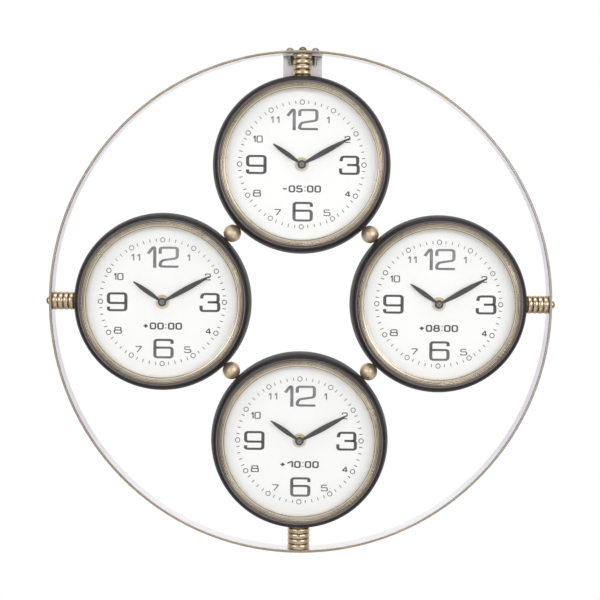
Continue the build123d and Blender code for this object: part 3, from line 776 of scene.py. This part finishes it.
# %% Figures as paths
FIGURE_PATHS = {
    "0": [[(0, 0), (0, 1), (1, 1), (1, 0), (0, 0)]],
    "1": [[(0, 0.69), (0.72, 1), (1, 1), (1, 0)]],
    "2": [[(0, 0.68), (0, 1), (1, 1), (1, 0.45), (0.12, 0.33), (0, 0.16), (0, 0), (1.07, 0)]],
    "3": [[(0.02, 0.73), (0.07, 1), (0.965, 1), (0.965, 0.515), (0.37, 0.515)],
          [(0.7, 0.515), (1, 0.515), (1, 0), (0, 0), (0, 0.31)]],
    "4": [[(0.72, 0), (0.72, 1), (0, 0.28), (1, 0.28)]],
    "5": [[(0.95, 1), (0.02, 1), (0, 0.55), (1, 0.55), (1, 0), (0, 0), (0, 0.22)]],
    "6": [[(1, 0.78), (1, 1), (0, 1), (0, 0), (1, 0), (1, 0.56), (0, 0.56)]],
    "7": [[(0, 1), (1, 1), (0.28, 0)]],
    "8": [[(0, 0), (0, 0.54), (1, 0.54), (1, 0), (0, 0)],
          [(0.06, 0.54), (0.06, 1), (0.94, 1), (0.94, 0.54), (0.06, 0.54)]],
    "9": [[(0, 0.21), (0, 0), (1, 0), (1, 1), (0, 1), (0, 0.43), (1, 0.43)]],
    "-": [[(0, 0.5), (1, 0.5)]],
    "+": [[(0, 0.5), (1, 0.5)], [(0.5, 0.18), (0.5, 0.82)]],
    ":": [[(0.5, 0.1), (0.5, 0.24)], [(0.5, 0.76), (0.5, 0.9)]],
}
corner_steps = 5
corner_pens = 1.6
most_of_side = 0.45


def rounded_path(path, reach, closed):
    """The path with each corner turned into a short curve that starts and ends this far from it."""
    rounded = []
    for index, corner in enumerate(path):
        if not closed and index in (0, len(path) - 1):
            rounded.append(corner)
            continue
        before = path[index - 1] - corner
        after = path[(index + 1) % len(path)] - corner
        start = corner + before.normalized() * min(reach, before.length * most_of_side)
        end = corner + after.normalized() * min(reach, after.length * most_of_side)
        for step in range(corner_steps + 1):
            share = step / corner_steps
            rounded.append(start.lerp(corner, share).lerp(corner.lerp(end, share), share))
    return rounded


def add_stroke(shape, path, pen, low, high, closed=False):
    """A flat bar along the path, between these heights. The pen is its half width across and up."""
    stations = []
    for index, point in enumerate(path):
        before = path[index - 1] if closed or index > 0 else point
        after = path[(index + 1) % len(path)] if closed or index < len(path) - 1 else point
        along = (after - before).normalized()
        square = Vector((-along.y, along.x))
        spread = Vector((pen[0] ** 2 * square.x, pen[1] ** 2 * square.y))
        offset = spread / spread.dot(square) ** 0.5
        ends = ((point + offset, high), (point - offset, high), (point - offset, low), (point + offset, low))
        stations.append([shape.verts.new((*place, height)) for place, height in ends])
    following = stations[1:] + stations[:1] if closed else stations[1:]
    for first, second in zip(stations, following):
        for side in range(4):
            shape.faces.new((first[side], first[side - 1], second[side - 1], second[side]))
    if not closed:
        shape.faces.new(stations[0])
        shape.faces.new(reversed(stations[-1]))


def add_figure(shape, sign, box, pen, low, high):
    """One figure in a box (left, bottom, right, top) of its centre lines."""
    left, bottom, right, top = box
    for stroke in FIGURE_PATHS[sign]:
        closed = stroke[0] == stroke[-1]
        shares = stroke[:-1] if closed else stroke
        path = [Vector((left + (right - left) * x, bottom + (top - bottom) * y)) for x, y in shares]
        add_stroke(shape, rounded_path(path, corner_pens * pen[0], closed), pen, low, high, closed)


print("figures:", "".join(FIGURE_PATHS))

# %% [markdown]
# A bmesh with a finished shape becomes a piece of the object here. Its faces are turned outwards, it gets its
# material, and it rides on its body.

# %% Helper: add a piece


def add_piece(name, shape, body, material):
    """A new piece at the origin, made from a bmesh, which is used up."""
    bmesh.ops.recalc_face_normals(shape, faces=shape.faces)
    mesh = bpy.data.meshes.new(name)
    shape.to_mesh(mesh)
    shape.free()
    mesh.materials.append(material)
    piece = new_object(name, mesh)
    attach(piece, body)
    return piece


def on_dial(head):
    """The place of a dial's face: x to the right, y up, z towards the room."""
    centre = Vector((head_centre[head].x, dial_face, head_centre[head].z))
    return Matrix.Translation(centre) @ Matrix.Rotation(pi / 2, 4, "X")


print("ready to add pieces")

# %% [markdown]
# Twelve, three, six and nine are large, and the hours between them are small. Below the middle every dial
# carries one line of small type, here the offset of its zone from universal time. The boxes give where the
# centre lines of each figure run, in millimetres from the centre of the dial.

# %% Print the figures
ink = finishes["dial_ink"]
ink_depth = -0.01 * MM
ink_height = 0.03 * MM
large_pen = (1.6 * MM, 1.1 * MM)
small_pen = (0.65 * MM, 0.5 * MM)
line_pen = (0.85 * MM, 0.7 * MM)
LARGE_FIGURES = [
    ("1", (-14.4, 33.8, -7.9, 54.1)),
    ("2", (-2.5, 35.1, 14.5, 53.8)),
    ("3", (38.4, -8.7, 55.9, 8.1)),
    ("6", (-7.3, -55.3, 9.8, -38.0)),
    ("9", (-53.7, -8.7, -36.4, 8.0)),
]
SMALL_FIGURES = [
    ("1", (24.7, 41.0, 26.6, 47.1)),
    ("2", (42.7, 22.2, 47.4, 28.0)),
    ("4", (43.2, -31.5, 48.3, -26.0)),
    ("5", (22.5, -50.3, 28.3, -44.7)),
    ("7", (-26.7, -50.3, -20.4, -44.7)),
    ("8", (-47.6, -31.6, -40.8, -25.8)),
    ("1", (-47.8, 21.8, -46.4, 27.8)),
    ("0", (-44.4, 21.8, -39.4, 27.8)),
    ("1", (-30.8, 40.9, -28.8, 47.0)),
    ("1", (-25.0, 40.9, -23.0, 47.0)),
]
ZONE_OFFSETS = {"top": "-05:00", "left": "+00:00", "right": "+08:00", "bottom": "+10:00"}
zone_bottom = -26.9 * MM
zone_top = -21.3 * MM
sign_width = {"-": 3.8 * MM, "+": 4.4 * MM, ":": 0.5 * MM}
digit_width = 4.9 * MM
sign_gap = 2.6 * MM

for head in HEADS:
    shape = bmesh.new()
    for figures, pen in ((LARGE_FIGURES, large_pen), (SMALL_FIGURES, small_pen)):
        for sign, box in figures:
            add_figure(shape, sign, [value * MM for value in box], pen, ink_depth, ink_height)
    widths = [sign_width.get(sign, digit_width) for sign in ZONE_OFFSETS[head]]
    left = -(sum(widths) + sign_gap * (len(widths) - 1)) / 2
    for sign, width in zip(ZONE_OFFSETS[head], widths):
        add_figure(shape, sign, (left, zone_bottom, left + width, zone_top), line_pen, ink_depth, ink_height)
        left += width + sign_gap
    shape.transform(on_dial(head))
    add_piece(f"figures_{head}", shape, "clock_frame", ink)
print("figures on each dial:", len(LARGE_FIGURES) + len(SMALL_FIGURES))

# %% [markdown]
# Some shapes follow a rule, such as marks on a circle or a thread on a screw, so Geometry Nodes make them. A
# tree gets named inputs, and what it makes with one set of values is turned into a plain bmesh.

# %% Helpers for Geometry Nodes


def new_geometry_tree(name, **inputs):
    """A Geometry Nodes tree with these named inputs, its input sockets and its output socket."""
    kinds = {float: "NodeSocketFloat", int: "NodeSocketInt", bpy.types.Material: "NodeSocketMaterial"}
    tree = bpy.data.node_groups.new(name, "GeometryNodeTree")
    for label, value in inputs.items():
        socket = tree.interface.new_socket(label, in_out="INPUT", socket_type=kinds[type(value)])
        socket.default_value = value
    tree.interface.new_socket("Geometry", in_out="OUTPUT", socket_type="NodeSocketGeometry")
    return tree, tree.nodes.new("NodeGroupInput").outputs, tree.nodes.new("NodeGroupOutput").inputs[0]


def finish_geometry(tree, geometry, material, output):
    """Ends a tree: real geometry in place of instances, with its material."""
    real = add_node(tree, "GeometryNodeRealizeInstances", {"Geometry": geometry}).outputs[0]
    painted = add_node(tree, "GeometryNodeSetMaterial", {"Geometry": real, "Material": material}).outputs[0]
    connect(tree, painted, output)


def grown_shape(tree, **values):
    """A bmesh of what a tree makes when its modifier has these values."""
    holder = new_object(tree.name, bpy.data.meshes.new(tree.name))
    modifier = holder.modifiers.new(tree.name, "NODES")
    modifier.node_group = tree
    for socket in tree.interface.items_tree:
        if socket.in_out == "INPUT" and socket.name in values:
            modifier[socket.identifier] = values[socket.name]
    bpy.context.view_layer.update()
    evaluated = holder.evaluated_get(bpy.context.evaluated_depsgraph_get())
    mesh = bpy.data.meshes.new_from_object(evaluated)
    holder.modifiers.remove(modifier)
    bpy.data.objects.remove(holder)
    shape = bmesh.new()
    shape.from_mesh(mesh)
    bpy.data.meshes.remove(mesh)
    return shape


print("helpers for Geometry Nodes are ready")

# %% [markdown]
# The minute track has sixty marks: a small ring at every fifth minute and a short tick at the others.
# Points stand on a circle, each one gets a ring or a tick by its number, and every mark is turned to point
# at the centre.

# %% Minute track
minutes = 60
ring_every = 5
middle_height = (ink_depth + ink_height) / 2
track, given, output = new_geometry_tree(
    "minute_track", Radius=61.6 * MM, Ring=2.2 * MM, Stroke=0.8 * MM, Tick=3.2 * MM,
    Height=ink_height - ink_depth, Ink=ink)
points = add_node(track, "GeometryNodeMeshCircle", {"Vertices": minutes, "Radius": given["Radius"]})
place = add_node(track, "GeometryNodeInputPosition").outputs[0]
turned = add_node(track, "FunctionNodeAlignRotationToVector", {"Vector": place}, axis="Y", pivot_axis="Z")
number = add_node(track, "GeometryNodeInputIndex").outputs[0]
ringed = maths(track, "LESS_THAN", maths(track, "MODULO", number, ring_every), 0.5)
ticked = maths(track, "SUBTRACT", 1, ringed)

section = add_node(track, "GeometryNodeCurvePrimitiveQuadrilateral",
                   {"Width": given["Stroke"], "Height": given["Height"]}).outputs[0]
circle = add_node(track, "GeometryNodeCurvePrimitiveCircle", {"Radius": given["Ring"], "Resolution": 28})
ring = add_node(track, "GeometryNodeCurveToMesh", {"Curve": circle.outputs[0], "Profile Curve": section})
tick_sides = {0: given["Stroke"], 1: given["Tick"], 2: given["Height"]}
tick_size = add_node(track, "ShaderNodeCombineXYZ", tick_sides).outputs[0]
tick = add_node(track, "GeometryNodeMeshCube", {"Size": tick_size})
marks = add_node(track, "GeometryNodeJoinGeometry").inputs[0]
for wanted, mark in ((ringed, ring), (ticked, tick)):
    inputs = {"Points": points.outputs[0], "Selection": wanted, "Instance": mark.outputs[0],
              "Rotation": turned.outputs[0]}
    connect(track, add_node(track, "GeometryNodeInstanceOnPoints", inputs).outputs[0], marks)
finish_geometry(track, marks.node.outputs[0], given["Ink"], output)

for head in HEADS:
    shape = grown_shape(track, Ink=ink)
    shape.transform(on_dial(head) @ Matrix.Translation((0, 0, middle_height)))
    piece = add_piece(f"minute_track_{head}", shape, "clock_frame", ink)
print("faces in one track:", len(piece.data.polygons))

# %% [markdown]
# Screws and studs carry a thread where they stick out of their nuts. A thread is one ridge wound at an even
# pitch, so a spiral curve with a small round section makes it, and only its length differs from screw to
# screw. Inside a head three tails end at the same distance from its axis: the one of the post's screw, and
# those of the two studs towards the neighbours. That distance is read from the screw of the bottom post.

# %% Threads
nut_height = 3.2 * MM
stud_tail = 1.5 * MM
bracket_tail = 5.5 * MM
bracket_thickness = 1.5 * MM
bracket_screw_turn = 2.895
bracket_screw_y = -6 * MM
thread_margin = 0.15 * MM
wind, given, output = new_geometry_tree(
    "wound_thread", Radius=1.98 * MM, Pitch=0.7 * MM, Length=stud_tail, Ridge=0.16 * MM,
    Plating=finishes["zinc"])
turns = maths(wind, "DIVIDE", given["Length"], given["Pitch"])
spiral = add_node(wind, "GeometryNodeCurveSpiral", {
    "Resolution": 20, "Rotations": turns, "Start Radius": given["Radius"], "End Radius": given["Radius"],
    "Height": given["Length"]})
section = add_node(wind, "GeometryNodeCurvePrimitiveCircle", {"Resolution": 6, "Radius": given["Ridge"]})
ridge = add_node(wind, "GeometryNodeCurveToMesh", {
    "Curve": spiral.outputs[0], "Profile Curve": section.outputs[0], "Fill Caps": True})
finish_geometry(wind, ridge.outputs[0], given["Plating"], output)


def spoke(centre, turn, reach, y):
    """A frame on a ray of the XZ plane: its z runs outwards along the ray, which is turned from +X."""
    out = Vector((cos(radians(turn)), 0, sin(radians(turn))))
    place = Vector((centre.x, y, centre.z)) + out * reach
    return Matrix.Translation(place) @ out.to_track_quat("Z", "Y").to_matrix().to_4x4()


def add_thread(shape, frame_of_tail, length):
    """Winds a thread on a tail that starts at this frame, and adds it to the shape."""
    made = grown_shape(wind, Length=length - 2 * thread_margin, Plating=finishes["zinc"])
    made.transform(frame_of_tail @ Matrix.Translation((0, 0, thread_margin)))
    mesh = bpy.data.meshes.new("thread")
    made.to_mesh(mesh)
    made.free()
    shape.from_mesh(mesh)
    bpy.data.meshes.remove(mesh)


tail_end = hoop_centre.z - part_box("bottom_screw")[1].z - head_pitch
OUTWARD = {"top": 90, "left": 180, "right": 0, "bottom": 270}
stud_shape, screw_shape = bmesh.new(), bmesh.new()
for head, turn in OUTWARD.items():
    add_thread(screw_shape, spoke(head_centre[head], turn, tail_end, axis_y), stud_tail)
    for neighbour in (turn + 135, turn - 135):
        add_thread(stud_shape, spoke(head_centre[head], neighbour, tail_end, axis_y), stud_tail)
bracket_end = hoop_inside - bracket_thickness - nut_height - bracket_tail
for turn in (90 - bracket_screw_turn, 90 + bracket_screw_turn):
    add_thread(stud_shape, spoke(hoop_centre, turn, bracket_end, bracket_screw_y), bracket_tail)
piece = add_piece("stud_threads", stud_shape, "clock_frame", finishes["zinc"])
add_piece("screw_threads", screw_shape, "clock_frame", finishes["antique_brass"])
print("tails end in mm from an axis:", round(tail_end / MM, 2), "faces:", len(piece.data.polygons))

# %% [markdown]
# The back of each movement has the marks that any such movement has: a moulded border, a ring round the
# set knob, a plus and a minus beside the battery bay, and the ends of the two contact springs, which are
# folded over the edge of the bay. They are flat bars too, so the pen that drew the figures draws them. The
# battery's plus end points to +X, which is the left side when seen from behind.

# %% Backs of the movements
moulded_height = 0.5 * MM
moulded_pen = (0.45 * MM, 0.45 * MM)
border_half = 26.2 * MM
border_corner = 3 * MM
knob_rise = middle("set_knob_top").z - head_centre["top"].z
knob_ring_radius = 8.6 * MM
bay_rise = middle("battery_top").z - head_centre["top"].z
mark_rise = bay_rise + 11.6 * MM
mark_reach = 21 * MM
mark_half = (1.8 * MM, 2.8 * MM)
contact_reach = battery_half + 1.3 * MM
contact_half = 2.6 * MM
contact_pen = (0.7 * MM, 0.7 * MM)
contact_height = 0.2 * MM


def on_back(head):
    """The place of a movement's back, seen from behind: x to the right, y up, z towards the wall."""
    centre = Vector((head_centre[head].x, movement_back, head_centre[head].z))
    return Matrix.Translation(centre) @ Matrix.Rotation(pi, 4, "Z") @ Matrix.Rotation(pi / 2, 4, "X")


def circle_path(x, y, radius, steps=40):
    """Points on a circle, for a closed stroke."""
    turns = [2 * pi * step / steps for step in range(steps)]
    return [Vector((x + radius * cos(turn), y + radius * sin(turn))) for turn in turns]


corners = [Vector((x * border_half, y * border_half)) for x, y in SQUARE]
border = rounded_path(corners, border_corner, True)
knob_ring = circle_path(0, knob_rise, knob_ring_radius)
for head in HEADS:
    shape = bmesh.new()
    for path in (border, knob_ring):
        add_stroke(shape, path, moulded_pen, ink_depth, moulded_height, True)
    for sign, x in (("+", -mark_reach), ("-", mark_reach)):
        box = (x - mark_half[0], mark_rise - mark_half[1], x + mark_half[0], mark_rise + mark_half[1])
        add_figure(shape, sign, box, moulded_pen, ink_depth, moulded_height)
    shape.transform(on_back(head))
    plastic = finishes["movement_plastic"]
    add_piece(f"movement_marks_{head}", shape, "clock_frame", plastic)
    shape = bmesh.new()
    for side in (-1, 1):
        path = [Vector((side * contact_reach, bay_rise + end * contact_half)) for end in (-1, 1)]
        add_stroke(shape, path, contact_pen, ink_depth, contact_height)
    shape.transform(on_back(head))
    add_piece(f"battery_contacts_{head}", shape, "clock_frame", finishes["zinc"])
print("border half width in mm:", round(border_half / MM, 2))
